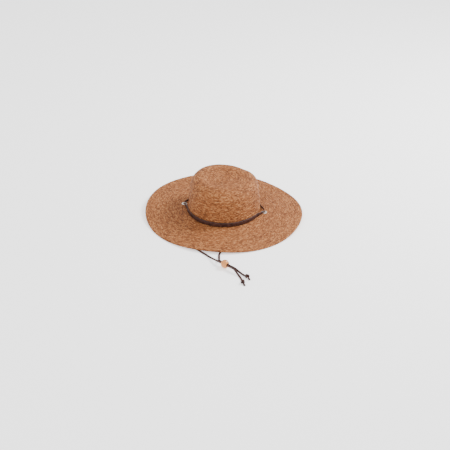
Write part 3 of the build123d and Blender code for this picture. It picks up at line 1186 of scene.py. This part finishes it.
@dataclass
class LeatherWork:
    """Band, laces and knots.

    Attributes:
        shape: The hat's sizes.
        finish: The leather's finish.
        eyelet_x: Distance from the middle of the hat to each eyelet.
        lane: Half the spacing of two laces side by side.
        lace_width: Width of a lace.
        lace_thickness: Thickness of a lace.
        band_height: Height of the front band.
        band_thickness: Thickness of the front band.
        floor: Height of a lace's middle where it lies on the surface.
        bead_centre: Middle of the bead.
        bore_azimuth: Direction of the bead's bore.
        lane_drop: How far the laces lie below the middle of the bore.
        bore_stops: Places of the laces' control points along the bore, from its middle.
        end_width: Width of the band's and the back lace's ends, (band, lace).
        end_thickness: Thickness of the band's ends.
        gap: Clearance between the crown and the leather round it.
        ledge: Height of the band and the back lace above the brim, (band, lace).
        band_arc: Azimuths of the band's first and last points on the wall, in degrees.
        lace_arc: Azimuths of the back lace's first and last points on the wall, in degrees.
        lace_lengths: Real lengths of the left and the right chin lace.
        line_steps: Points for each control point of the band and the back lace.
        knot_tilt: Angle of a knot's loops from the surface, in degrees.
        knot_floor: Lowest height of the lace's middle in a knot.
    """

    shape: HatShape
    finish: LeatherFinish = field(default_factory=LeatherFinish)
    eyelet_x: float = 100.0 * MM
    lane: float = 1.95 * MM
    lace_width: float = 5.0 * MM
    lace_thickness: float = 1.8 * MM
    band_height: float = 10.5 * MM
    band_thickness: float = 2.4 * MM
    floor: float = 1.75 * MM
    bead_centre: tuple[float, float, float] = (50.0 * MM, -260.5 * MM, 9.5 * MM)
    bore_azimuth: float = float(np.radians(-32.0))
    lane_drop: float = 0.3 * MM
    bore_stops: Sequence[float] = (-20.0 * MM, -12 * MM, 0.0, 12 * MM, 22 * MM, 29.0 * MM)
    end_width: tuple[float, float] = (3.6 * MM, 3.4 * MM)
    end_thickness: float = 2.0 * MM
    gap: float = 0.5 * MM
    ledge: tuple[float, float] = (1.0 * MM, 0.8 * MM)
    band_arc: tuple[float, float] = (196, 344)
    lace_arc: tuple[float, float] = (15, 165)
    lace_lengths: tuple[float, float] = (0.400, 0.352)
    line_steps: int = 8
    knot_tilt: float = 35.0
    knot_floor: float = 1.3 * MM

    def eyelet_top(self) -> float:
        """Height of the brim's upper face at the eyelets.

        Returns:
            The height.
        """
        return float(self.shape.brim_top(np.array(self.eyelet_x), np.array(0.0)))

    def eyelet_bottom(self) -> float:
        """Height of the underside of the eyelets.

        Returns:
            The height.
        """
        return self.eyelet_top() - self.shape.straw - 1.1 * MM

    def wall_point(self, clearance: float, angle: float, height: float) -> Point:
        """Point beside the crown's foot.

        Args:
            clearance: Distance outside the crown.
            angle: Angle round the hat, in degrees.
            height: Height above the resting surface.

        Returns:
            The point.
        """
        lean = (height - self.shape.rise + self.shape.straw) * np.tan(self.shape.lean)
        reach_x = self.shape.half_width + clearance - lean
        reach_y = self.shape.half_length + clearance - lean
        return (reach_x * np.cos(np.radians(angle)), reach_y * np.sin(np.radians(angle)), height)

    def outward(self, line: np.ndarray) -> np.ndarray:
        """Directions that face away from the crown's wall.

        Args:
            line: Points beside the wall.

        Returns:
            Level unit vectors.
        """
        x = line[:, 0] / self.shape.half_width ** 2
        y = line[:, 1] / self.shape.half_length ** 2
        return unit(np.stack([x, y, np.zeros(len(line))], -1))

    def eyelet_lead(self, side: int, lane: float) -> list[Point]:
        """Points from beside the wall down through an eyelet.

        Args:
            side: -1 or 1 along X.
            lane: Place in the bore along Y.

        Returns:
            The points, in order.
        """
        toward = np.sign(lane)
        x = side * self.eyelet_x
        top = self.eyelet_top()
        return [
            (x - side * 4.0 * MM, lane + toward * 9.0 * MM, top + 5.0 * MM),
            (x - side * 0.6 * MM, lane + toward * 2.2 * MM, top + 4.2 * MM),
            (x, lane, top - 0.5 * MM),
            (x, lane, self.eyelet_bottom()),
        ]

    def from_ends(self, line: np.ndarray, bare: float, run: float) -> np.ndarray:
        """Share of the full section along a strip that narrows to both ends.

        Args:
            line: Points of the strip's middle line.
            bare: Length of each narrow end.
            run: Length over which the strip grows to its full section.

        Returns:
            Numbers from 0 at the ends to 1.
        """
        along = distances(line)
        return np.clip((np.minimum(along, along[-1] - along) - bare) / run, 0, 1)

    def front_band(self) -> bpy.types.Object:
        """Make the leather strip round the front of the crown.

        Returns:
            The piece.
        """
        steps = 18
        first, last = self.band_arc
        base = self.shape.rise + self.ledge[0]
        clearance = self.gap + self.band_thickness / 2
        middle = base + self.band_height / 2
        route = list(reversed(self.eyelet_lead(-1, -self.lane)))
        for step in range(steps + 1):
            angle = first + (last - first) * step / steps
            low = min(1.0, min(step, steps - step) / 2.5)
            height = middle - (1 - low) * 2.2 * MM
            route.append(self.wall_point(clearance, angle, height))
        route += self.eyelet_lead(1, -self.lane)
        line = smooth_line("front_band_line", route, self.line_steps)
        full = ease(self.from_ends(line, 9 * MM, 26 * MM))
        width = self.end_width[0] + (self.band_height - self.end_width[0]) * full
        thickness = self.end_thickness + (self.band_thickness - self.end_thickness) * full
        across = np.cross(self.outward(line), headings(line))
        return strap("front_band_leather", line, across, width, thickness)

    def back_lace(self) -> bpy.types.Object:
        """Make the lace round the back of the crown.

        Returns:
            The piece.
        """
        steps = 16
        first, last = self.lace_arc
        clearance = self.gap + self.lace_thickness / 2
        height = self.shape.rise + self.ledge[1] + self.lace_width / 2
        route = list(reversed(self.eyelet_lead(1, self.lane)))
        for step in range(steps + 1):
            angle = first + (last - first) * step / steps
            route.append(self.wall_point(clearance, angle, height))
        route += self.eyelet_lead(-1, self.lane)
        line = smooth_line("back_lace_line", route, self.line_steps)
        full = self.from_ends(line, 6 * MM, 14 * MM)
        width = self.end_width[1] + (self.lace_width - self.end_width[1]) * full
        thickness = np.full(len(line), self.lace_thickness)
        across = np.cross(self.outward(line), headings(line))
        return strap("back_lace_leather", line, across, width, thickness)

    def bore_point(self, along: float, lane: float) -> Point:
        """Point on a lace's straight stretch through the bead.

        Args:
            along: Distance from the bead's middle towards the tails.
            lane: Distance to the side.

        Returns:
            The point.
        """
        cosine, sine = np.cos(self.bore_azimuth), np.sin(self.bore_azimuth)
        x = self.bead_centre[0] + along * cosine - lane * sine
        y = self.bead_centre[1] + along * sine + lane * cosine
        return (x, y, self.bead_centre[2] - self.lane_drop)

    def route(self, side: int, under_brim: Route, after_bead: Route) -> list[Point]:
        """Control points of one chin lace, from under its eyelet to its knot.

        Args:
            side: -1 for the lace at -X, 1 for the other.
            under_brim: Points before the bead, in millimetres.
            after_bead: Points after the bead, in millimetres.

        Returns:
            The points, in metres.
        """
        x = side * self.eyelet_x
        lane = side * self.lane
        points = [(x, self.lane, self.eyelet_bottom()), (x, self.lane, self.floor)]
        points += [tuple(c * MM for c in point) for point in under_brim]
        points += [self.bore_point(along, lane) for along in self.bore_stops]
        points += [tuple(c * MM for c in point) for point in after_bead]
        return points

    def chin_lace(
        self, name: str, route: Route, turns: Sequence[tuple[float, float]]
    ) -> tuple[bpy.types.Object, np.ndarray]:
        """Make one flat lace that lies free.

        Args:
            name: The object's name.
            route: Its control points.
            turns: (share of the length, twist in degrees from lying flat) pairs.

        Returns:
            The piece, and the points that it follows.
        """
        line = smooth_line(name + "_line", route, 10)
        ahead = headings(line)
        level = ahead.copy()
        steep = np.abs(ahead[:, 2]) > 0.7
        first_level = int(np.argmin(steep))
        level[:first_level] = ahead[first_level]
        level[:, 2] = 0
        across = np.cross(UP, unit(level))
        share = distances(line) / distances(line)[-1]
        twist = np.radians(np.interp(share, [t[0] for t in turns], [t[1] for t in turns]))
        upright = np.cross(ahead, across)
        across = across * np.cos(twist)[:, None] + upright * np.sin(twist)[:, None]
        width = np.full(len(line), self.lace_width)
        thickness = np.full(len(line), self.lace_thickness)
        on_edge = np.abs(np.sin(twist)) * self.lace_width / 2
        on_face = self.lace_thickness / 2 * np.abs(np.cos(twist))
        line = line.copy()
        line[:, 2] = np.maximum(line[:, 2], on_edge + on_face + 0.1 * MM)
        return strap(name, line, across, width, thickness), line

    def overhand(
        self, name: str, centre: np.ndarray, level: np.ndarray, size: float
    ) -> bpy.types.Object:
        """Make a tied overhand knot.

        Args:
            name: The object's name.
            centre: Its middle.
            level: Level direction of the lace through it.
            size: A third of the loops' radius.

        Returns:
            The piece.
        """
        turn = np.linspace(0, TAU, 97)[:-1]
        loop = size * np.stack(
            [
                np.sin(turn) + 2 * np.sin(2 * turn),
                0.95 * (np.cos(turn) - 2 * np.cos(2 * turn)),
                -1.35 * np.sin(3 * turn),
            ],
            -1,
        )
        side = np.array([-level[1], level[0], 0.0])
        tilt = np.radians(self.knot_tilt)
        across = side * np.cos(tilt) + UP * np.sin(tilt)
        over = -side * np.sin(tilt) + UP * np.cos(tilt)
        ring = centre + loop @ np.stack([level, across, over])
        ring[:, 2] = np.maximum(ring[:, 2], self.knot_floor)
        closed = np.concatenate([ring[-1:], ring, ring[:1]])
        way = unit(closed[2:] - closed[:-2])
        wide = unit(np.cross(way, unit(ring - centre)))
        deep = np.cross(wide, way)
        outline = strap_section(3, 0.75) * size * np.array([1.4, 0.8])
        body = ring[:, None] + wide[:, None] * outline[None, :, :1]
        body = body + deep[:, None] * outline[None, :, 1:]
        body[..., 2] = np.maximum(body[..., 2], 0.15 * MM)
        return grid_object(name, body, True, False)

    def stopper(
        self, name: str, end: np.ndarray, ahead: np.ndarray, droop: float
    ) -> bpy.types.Object:
        """Make a lace's stopper knot with the short tail beyond it.

        Args:
            name: The object's name.
            end: Where the lace enters the knot.
            ahead: Direction of the lace there.
            droop: Turn of the tail away from the lace's direction, in degrees.

        Returns:
            The piece.
        """
        level = unit(np.array([ahead[0], ahead[1], 0.0]))
        centre = end + level * 4.2 * MM
        centre[2] = 4.9 * MM
        knot = self.overhand(name, centre, level, 1.5 * MM)
        angle = np.radians(droop)
        heading = level * np.cos(angle) + np.array([-level[1], level[0], 0.0]) * np.sin(angle)
        line = centre + level * 2.5 * MM + heading * (np.array([[0.0], [3.0], [6.0], [9.5]]) * MM)
        line[:, 2] = np.array([4.0, 3.6, 1.9, 1.3]) * MM
        line = smooth_line(name + "_tail_line", line, 6)
        wide = np.cross(UP, heading) + UP * np.linspace(0.5, 0.1, len(line))[:, None]
        width = np.linspace(4.0, 5.0, len(line)) * MM
        tail = strap(name + "_tail", line, wide, width, np.full(len(line), 1.5 * MM))
        return join(knot, tail)

    def band_knots(self) -> bpy.types.Object:
        """Make the knots that hold the front band's ends under the eyelets.

        Returns:
            The piece.
        """
        knots = []
        depth = self.eyelet_bottom() - 2.7 * MM
        for side in (-1, 1):
            centre = np.array([side * self.eyelet_x, -self.lane - 2.6 * MM, depth])
            level = np.array([side, 0.0, 0.0])
            knots.append(self.overhand(f"band_knot_{side}", centre, level, 0.95 * MM))
        return join(*knots)

    def build(self, bead: bpy.types.Object) -> list[bpy.types.Object]:
        """Make every leather piece.

        Args:
            bead: The bead, which goes with the laces; not used.

        Returns:
            The pieces, without the bead.
        """
        leather = self.finish.build("lace_leather")
        pieces = [
            finish_piece(self.front_band(), leather, "hat", "dark_leather", "front_band"),
            finish_piece(self.back_lace(), leather, "hat", "dark_leather", "back_lace"),
            finish_piece(self.band_knots(), leather, "hat", "dark_leather", "band_knots"),
        ]
        sides = (
            ("left", -1, LEFT_UNDER_BRIM, LEFT_AFTER_BEAD, LEFT_TWIST, "tail_knot_lower", 12),
            ("right", 1, RIGHT_UNDER_BRIM, RIGHT_AFTER_BEAD, RIGHT_TWIST, "tail_knot_upper", -22),
        )
        for (side, sign, before, after, twist, knot_node, droop), length in zip(
            sides, self.lace_lengths
        ):
            route = self.route(sign, before, after)
            lace, line = self.chin_lace(f"chin_lace_{side}_leather", route, twist)
            finish_piece(lace, leather, "hat", "dark_leather", f"chin_lace_{side}")
            knot = self.stopper(knot_node + "_leather", line[-1], headings(line)[-1], droop)
            finish_piece(knot, leather, "hat", "dark_leather", knot_node)
            pieces += [lace, knot]
        return pieces


# ---- Bead -----------------------------------------------------------------------------
@dataclass
class Bead:
    """Turned wooden bead that slides along both laces.

    Attributes:
        centre: Its middle.
        azimuth: Direction of its bore, in radians.
        radius: Greatest radius.
        length: Length along the bore.
        bore: Radius of the bore.
        lip: Radius of the rounding at the bore's mouths.
        sides: Points round the bead.
        finish: The wood's finish.
    """

    centre: tuple[float, float, float]
    azimuth: float
    radius: float = 9.5 * MM
    length: float = 17.0 * MM
    bore: float = 4.2 * MM
    lip: float = 0.7 * MM
    sides: int = 72
    finish: WoodFinish = field(default_factory=WoodFinish)

    def build(self) -> bpy.types.Object:
        """Make the bead.

        Returns:
            The piece.
        """
        half = self.length / 2
        rim = np.sqrt(self.radius ** 2 - half ** 2)
        swell = np.arctan2(rim + 0.3 * MM, half - 0.3 * MM)
        turn = np.linspace(swell, np.pi - swell, 40)
        outside = np.stack([self.radius * np.cos(turn), self.radius * np.sin(turn)], -1)
        bend = np.radians(np.linspace(0, 90, 7))
        mouth = half - self.lip + self.lip * np.cos(bend)
        near = np.stack([mouth, self.bore + self.lip - self.lip * np.sin(bend)], -1)
        depth = np.linspace(half - self.lip, -half + self.lip, 12)[1:-1]
        tunnel = np.stack([depth, np.full(len(depth), self.bore)], -1)
        far = near[::-1] * np.array([-1, 1])
        profile = np.concatenate([outside, far, tunnel[::-1], near[::-1]])
        spin = round_angles(self.sides)
        cosine, sine = np.cos(self.azimuth), np.sin(self.azimuth)
        along = profile[:, 0, None] + 0 * spin
        level = profile[:, 1, None] * np.cos(spin)
        height = profile[:, 1, None] * np.sin(spin)
        x = self.centre[0] + along * cosine - level * sine
        y = self.centre[1] + along * sine + level * cosine
        z = self.centre[2] + height
        piece = grid_object("bead_wood", np.stack([x, y, z], -1), True, False)
        wood = self.finish.build("bead_varnished_wood", Vector(self.centre))
        return finish_piece(piece, wood, "bead", "bead_wood", "cord_bead")


# ---- Cloth and metal ------------------------------------------------------------------
@dataclass
class Sweatband:
    """Ribbed cloth band inside the crown's foot.

    Attributes:
        shape: The hat's sizes.
        height: Height of the band.
        thickness: Thickness of the cloth.
        columns: Points round the band.
        finish: The cloth's finish.
    """

    shape: HatShape
    height: float = 30.0 * MM
    thickness: float = 1.0 * MM
    columns: int = 320
    finish: ClothFinish = ClothFinish(
        (0.045, 0.024, 0.016), (0.150, 0.088, 0.055), Weave.GROSGRAIN, 1.5 * MM
    )

    def build(self) -> bpy.types.Object:
        """Make the sweatband.

        Returns:
            The piece.
        """
        s = self.shape
        angle = round_angles(self.columns)
        foot = -s.straw + 0.4 * MM
        rise = np.linspace(0, 1, 13)
        bulge = 0.35 * MM * np.sin(np.pi * rise)
        offsets = [(foot + self.height * r, 0.05 * MM) for r in rise]
        offsets += [
            (foot + self.height * r, self.thickness + b * 0.6) for r, b in zip(rise[::-1], bulge[::-1])
        ]
        ripple = 0.12 * MM * np.sin(19 * angle) * np.sin(7 * angle + 1)
        points = []
        for height, inset in offsets:
            lean = (height + s.straw) * np.tan(s.lean) + (s.straw + inset) / np.cos(s.lean)
            share = (height - foot) / self.height
            reach = s.half_width - lean - ripple * share * (inset > 0.5 * MM)
            x = reach * np.cos(angle)
            y = reach * s.aspect * np.sin(angle)
            points.append(np.stack([x, y, np.full(self.columns, s.rise + height)], -1))
        piece = grid_object("sweatband_ribbon", np.array(points), True, False)
        cloth = self.finish.build("sweatband_grosgrain")
        finish_piece(piece, cloth, "hat", "sweatband_cloth", "sweatband")
        return piece


def dress_kept_nodes() -> list[bpy.types.Object]:
    """Give the CAD nodes that stay visible their materials.

    Returns:
        The nodes.
    """
    nickel = MetalFinish().build("eyelet_nickel")
    steel = MetalFinish((0.62, 0.62, 0.64), (0.40, 0.40, 0.42), 0.35).build("wire_steel")
    sleeve = MetalFinish((0.74, 0.75, 0.77), (0.55, 0.56, 0.58), 0.4).build("sleeve_aluminium")
    twist = ClothFinish((0.20, 0.11, 0.06), (0.48, 0.31, 0.18), Weave.TWIST, 0.7 * MM)
    thread = twist.build("thread_twist")
    weave = ClothFinish((0.55, 0.52, 0.45), (0.82, 0.79, 0.71), Weave.PLAIN, 0.6 * MM)
    tab = weave.build("tab_weave")
    finishes = {
        "eyelets": nickel,
        "eyelet_washers": nickel,
        "brim_wire": steel,
        "wire_joiner": sleeve,
        "sweatband_stitches": thread,
        "size_tab": tab,
    }
    for node, material in finishes.items():
        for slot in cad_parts[node].material_slots:
            slot.material = material
    return [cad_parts[node] for node in finishes]


# ---- Studio ---------------------------------------------------------------------------
@dataclass(frozen=True)
class Studio:
    """Pale floor, soft lights and the camera.

    Attributes:
        elevation: Camera's height angle, in degrees.
        azimuth: Camera's turn from the front towards +X, in degrees.
        roll: Camera's turn about its own axis, in degrees.
        distance: From the aim to the camera.
        lens: Focal length in millimetres on a 36 mm sensor.
        shift: Share of the frame by which the view moves up.
        shift_side: Share of the frame by which the view moves to the right.
        floor_reach: Half the side of the floor.
        floor_glow: Strength of the floor's own light.
        daylight: Strength of the world's white light.
    """

    elevation: float = 27.2
    azimuth: float = 9.7
    roll: float = 1.6
    distance: float = 2.6
    lens: float = 84.3
    shift: float = -0.0377
    shift_side: float = 0.0020
    floor_reach: float = 12.0
    floor_glow: float = 0.8
    daylight: float = 1.5

    def camera(self, aim: Vector) -> None:
        """Place the camera.

        Args:
            aim: The point that it looks at.
        """
        up, turn = np.radians(self.elevation), np.radians(self.azimuth)
        away = Vector((np.sin(turn) * np.cos(up), -np.cos(turn) * np.cos(up), np.sin(up)))
        data = bpy.data.cameras.new("camera")
        data.lens = self.lens
        data.sensor_width = 36
        data.shift_y = self.shift
        data.shift_x = self.shift_side
        data.clip_end = 50
        made = add_object("camera", data)
        facing = (-away).to_track_quat("-Z", "Y").to_matrix().to_4x4()
        turned = Matrix.Translation(aim + away * self.distance) @ facing
        made.matrix_world = turned @ Matrix.Rotation(np.radians(self.roll), 4, "Z")
        bpy.context.scene.camera = made

    def light(self, name: str, place: Point, aim: Point, size: float, power: float) -> None:
        """Add one soft square light.

        Args:
            name: Its name.
            place: Where it is.
            aim: What it faces.
            size: Its side.
            power: Its power in watts.
        """
        data = bpy.data.lights.new(name, "AREA")
        data.size = size
        data.energy = power
        made = add_object(name, data)
        made.location = place
        made.rotation_euler = (Vector(aim) - Vector(place)).to_track_quat("-Z", "Y").to_euler()

    def floor(self) -> None:
        """Add the pale floor."""
        mesh = bpy.data.meshes.new("floor")
        reach = self.floor_reach
        corners = [(-reach, -reach, 0), (reach, -reach, 0), (reach, reach, 0), (-reach, reach, 0)]
        mesh.from_pydata(corners, [], [(0, 1, 2, 3)])
        made = add_object("floor", mesh)
        glow = {"Emission_Color": (1, 1, 1, 1), "Emission_Strength": self.floor_glow}
        mesh.materials.append(Graph("floor_paint").surface((0.93, 0.93, 0.93), 0.9, **glow))

    def build(self) -> None:
        """Make the whole studio."""
        world = bpy.data.worlds.new("studio")
        world.use_nodes = True
        background = world.node_tree.nodes["Background"]
        background.inputs[0].default_value = (1, 1, 1, 1)
        background.inputs[1].default_value = self.daylight
        bpy.context.scene.world = world
        self.floor()
        self.camera(Vector((0, 0, 0.014)))
        self.light("key", (1.3, 0.85, 1.6), (0, 0, 0.03), 0.7, 66)
        self.light("fill", (-0.6, -2.0, 1.6), (0, -0.05, 0.03), 1.6, 12)


def main() -> None:
    """Build every piece and the studio."""
    logging.basicConfig(level=logging.INFO)
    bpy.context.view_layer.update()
    shape = HatShape()
    pieces = StrawWork(shape).build()
    leather = LeatherWork(shape)
    bead = Bead(leather.bead_centre, leather.bore_azimuth).build()
    pieces += [bead, *leather.build(bead), Sweatband(shape).build(), *dress_kept_nodes()]
    for piece in pieces:
        LOG.info("%s: %d faces", piece.name, len(piece.data.polygons))
    Studio().build()


if __name__ == "__main__":
    main()
